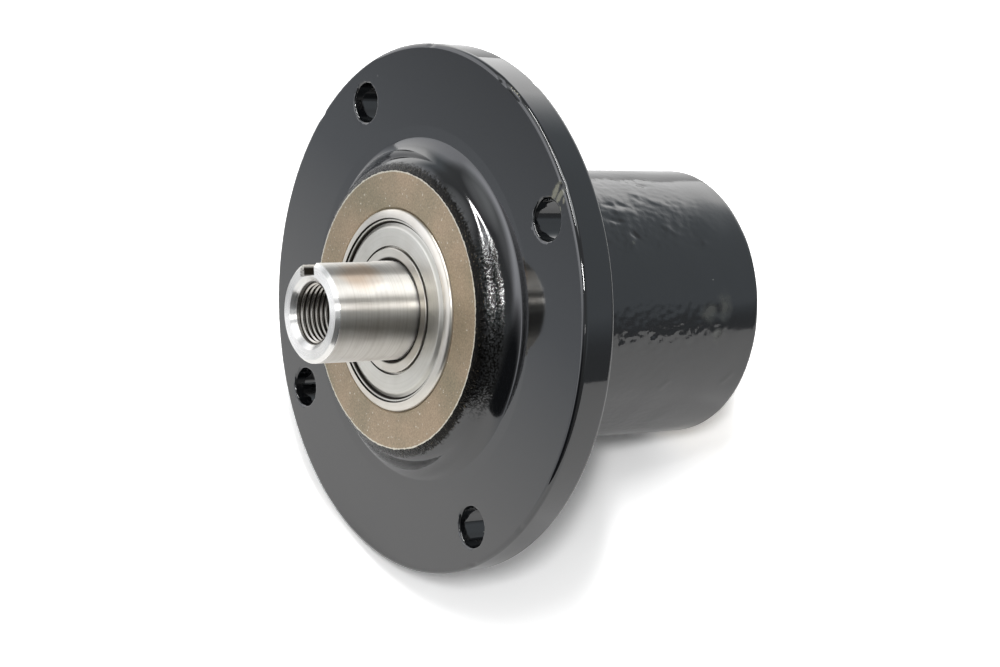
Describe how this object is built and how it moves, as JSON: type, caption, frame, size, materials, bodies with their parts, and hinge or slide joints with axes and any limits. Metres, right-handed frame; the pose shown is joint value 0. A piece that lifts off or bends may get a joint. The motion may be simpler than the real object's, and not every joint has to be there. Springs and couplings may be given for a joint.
{
  "type": "mower deck spindle",
  "caption": "Mower deck spindle: a round-flanged cast housing with a tubular body, shielded ball bearings and a keyed steel shaft tapped at both ends.",
  "frame": {"origin": "on the shaft axis, in the underside of the bolting flange, which seats on the deck", "axes": "+Z along the shaft towards its keyed pulley end; the flange bolt holes lie at 45 degrees to X and Y"},
  "size_m": [0.1366, 0.1364, 0.1331],
  "materials": {
    "black_paint": "gloss black paint, machined boss face bare",
    "turned_steel": "fine turned and ground",
    "ring_steel": "ground and polished",
    "shield_steel": "satin pressed sheet",
    "ball_steel": "polished",
    "cage_steel": "satin pressed sheet"
  },
  "bodies": {
    "housing": {"housing": "black_paint", "upper_outer_ring": "ring_steel", "upper_outside_shield": "shield_steel", "upper_inside_shield": "shield_steel", "lower_outer_ring": "ring_steel", "lower_outside_shield": "shield_steel", "lower_inside_shield": "shield_steel"},
    "spindle": {"spindle_shaft": "turned_steel", "bearing_spacer": "turned_steel", "upper_inner_ring": "ring_steel", "lower_inner_ring": "ring_steel"},
    "upper_cage": {"upper_cage_outside": "cage_steel", "upper_cage_inside": "cage_steel", "upper_cage_rivets": "cage_steel"},
    "lower_cage": {"lower_cage_outside": "cage_steel", "lower_cage_inside": "cage_steel", "lower_cage_rivets": "cage_steel"},
    "upper_ball_1": {"upper_ball_1": "ball_steel"},
    "upper_ball_2": {"upper_ball_2": "ball_steel"},
    "upper_ball_3": {"upper_ball_3": "ball_steel"},
    "upper_ball_4": {"upper_ball_4": "ball_steel"},
    "upper_ball_5": {"upper_ball_5": "ball_steel"},
    "upper_ball_6": {"upper_ball_6": "ball_steel"},
    "upper_ball_7": {"upper_ball_7": "ball_steel"},
    "upper_ball_8": {"upper_ball_8": "ball_steel"},
    "upper_ball_9": {"upper_ball_9": "ball_steel"},
    "lower_ball_1": {"lower_ball_1": "ball_steel"},
    "lower_ball_2": {"lower_ball_2": "ball_steel"},
    "lower_ball_3": {"lower_ball_3": "ball_steel"},
    "lower_ball_4": {"lower_ball_4": "ball_steel"},
    "lower_ball_5": {"lower_ball_5": "ball_steel"},
    "lower_ball_6": {"lower_ball_6": "ball_steel"},
    "lower_ball_7": {"lower_ball_7": "ball_steel"},
    "lower_ball_8": {"lower_ball_8": "ball_steel"},
    "lower_ball_9": {"lower_ball_9": "ball_steel"}
  },
  "joints": [
    {"name": "spindle_spin", "type": "hinge", "parent": "housing", "child": "spindle", "pos_m": [0, 0, 0], "axis": [0, 0, 1], "continuous": true},
    {"name": "upper_cage_orbit", "type": "hinge", "parent": "housing", "child": "upper_cage", "pos_m": [0, 0, 0.0105], "axis": [0, 0, 1], "continuous": true},
    {"name": "upper_ball_1_roll", "type": "hinge", "parent": "upper_cage", "child": "upper_ball_1", "pos_m": [0.01935, 0, 0.0105], "axis": [0, 0, 1], "continuous": true},
    {"name": "upper_ball_2_roll", "type": "hinge", "parent": "upper_cage", "child": "upper_ball_2", "pos_m": [0.01482, 0.01244, 0.0105], "axis": [0, 0, 1], "continuous": true},
    {"name": "upper_ball_3_roll", "type": "hinge", "parent": "upper_cage", "child": "upper_ball_3", "pos_m": [0.00336, 0.01906, 0.0105], "axis": [0, 0, 1], "continuous": true},
    {"name": "upper_ball_4_roll", "type": "hinge", "parent": "upper_cage", "child": "upper_ball_4", "pos_m": [-0.00967, 0.01676, 0.0105], "axis": [0, 0, 1], "continuous": true},
    {"name": "upper_ball_5_roll", "type": "hinge", "parent": "upper_cage", "child": "upper_ball_5", "pos_m": [-0.01818, 0.00662, 0.0105], "axis": [0, 0, 1], "continuous": true},
    {"name": "upper_ball_6_roll", "type": "hinge", "parent": "upper_cage", "child": "upper_ball_6", "pos_m": [-0.01818, -0.00662, 0.0105], "axis": [0, 0, 1], "continuous": true},
    {"name": "upper_ball_7_roll", "type": "hinge", "parent": "upper_cage", "child": "upper_ball_7", "pos_m": [-0.00967, -0.01676, 0.0105], "axis": [0, 0, 1], "continuous": true},
    {"name": "upper_ball_8_roll", "type": "hinge", "parent": "upper_cage", "child": "upper_ball_8", "pos_m": [0.00336, -0.01906, 0.0105], "axis": [0, 0, 1], "continuous": true},
    {"name": "upper_ball_9_roll", "type": "hinge", "parent": "upper_cage", "child": "upper_ball_9", "pos_m": [0.01482, -0.01244, 0.0105], "axis": [0, 0, 1], "continuous": true},
    {"name": "lower_cage_orbit", "type": "hinge", "parent": "housing", "child": "lower_cage", "pos_m": [0, 0, -0.0704], "axis": [0, 0, 1], "continuous": true},
    {"name": "lower_ball_1_roll", "type": "hinge", "parent": "lower_cage", "child": "lower_ball_1", "pos_m": [0.01935, 0, -0.0704], "axis": [0, 0, 1], "continuous": true},
    {"name": "lower_ball_2_roll", "type": "hinge", "parent": "lower_cage", "child": "lower_ball_2", "pos_m": [0.01482, 0.01244, -0.0704], "axis": [0, 0, 1], "continuous": true},
    {"name": "lower_ball_3_roll", "type": "hinge", "parent": "lower_cage", "child": "lower_ball_3", "pos_m": [0.00336, 0.01906, -0.0704], "axis": [0, 0, 1], "continuous": true},
    {"name": "lower_ball_4_roll", "type": "hinge", "parent": "lower_cage", "child": "lower_ball_4", "pos_m": [-0.00967, 0.01676, -0.0704], "axis": [0, 0, 1], "continuous": true},
    {"name": "lower_ball_5_roll", "type": "hinge", "parent": "lower_cage", "child": "lower_ball_5", "pos_m": [-0.01818, 0.00662, -0.0704], "axis": [0, 0, 1], "continuous": true},
    {"name": "lower_ball_6_roll", "type": "hinge", "parent": "lower_cage", "child": "lower_ball_6", "pos_m": [-0.01818, -0.00662, -0.0704], "axis": [0, 0, 1], "continuous": true},
    {"name": "lower_ball_7_roll", "type": "hinge", "parent": "lower_cage", "child": "lower_ball_7", "pos_m": [-0.00967, -0.01676, -0.0704], "axis": [0, 0, 1], "continuous": true},
    {"name": "lower_ball_8_roll", "type": "hinge", "parent": "lower_cage", "child": "lower_ball_8", "pos_m": [0.00336, -0.01906, -0.0704], "axis": [0, 0, 1], "continuous": true},
    {"name": "lower_ball_9_roll", "type": "hinge", "parent": "lower_cage", "child": "lower_ball_9", "pos_m": [0.01482, -0.01244, -0.0704], "axis": [0, 0, 1], "continuous": true}
  ],
  "couplings": [
    {"joint": "upper_cage_orbit", "follows": "spindle_spin", "ratio": 0.39744},
    {"joint": "upper_ball_1_roll", "follows": "spindle_spin", "ratio": -2.3351},
    {"joint": "upper_ball_2_roll", "follows": "spindle_spin", "ratio": -2.3351},
    {"joint": "upper_ball_3_roll", "follows": "spindle_spin", "ratio": -2.3351},
    {"joint": "upper_ball_4_roll", "follows": "spindle_spin", "ratio": -2.3351},
    {"joint": "upper_ball_5_roll", "follows": "spindle_spin", "ratio": -2.3351},
    {"joint": "upper_ball_6_roll", "follows": "spindle_spin", "ratio": -2.3351},
    {"joint": "upper_ball_7_roll", "follows": "spindle_spin", "ratio": -2.3351},
    {"joint": "upper_ball_8_roll", "follows": "spindle_spin", "ratio": -2.3351},
    {"joint": "upper_ball_9_roll", "follows": "spindle_spin", "ratio": -2.3351},
    {"joint": "lower_cage_orbit", "follows": "spindle_spin", "ratio": 0.39744},
    {"joint": "lower_ball_1_roll", "follows": "spindle_spin", "ratio": -2.3351},
    {"joint": "lower_ball_2_roll", "follows": "spindle_spin", "ratio": -2.3351},
    {"joint": "lower_ball_3_roll", "follows": "spindle_spin", "ratio": -2.3351},
    {"joint": "lower_ball_4_roll", "follows": "spindle_spin", "ratio": -2.3351},
    {"joint": "lower_ball_5_roll", "follows": "spindle_spin", "ratio": -2.3351},
    {"joint": "lower_ball_6_roll", "follows": "spindle_spin", "ratio": -2.3351},
    {"joint": "lower_ball_7_roll", "follows": "spindle_spin", "ratio": -2.3351},
    {"joint": "lower_ball_8_roll", "follows": "spindle_spin", "ratio": -2.3351},
    {"joint": "lower_ball_9_roll", "follows": "spindle_spin", "ratio": -2.3351}
  ]
}
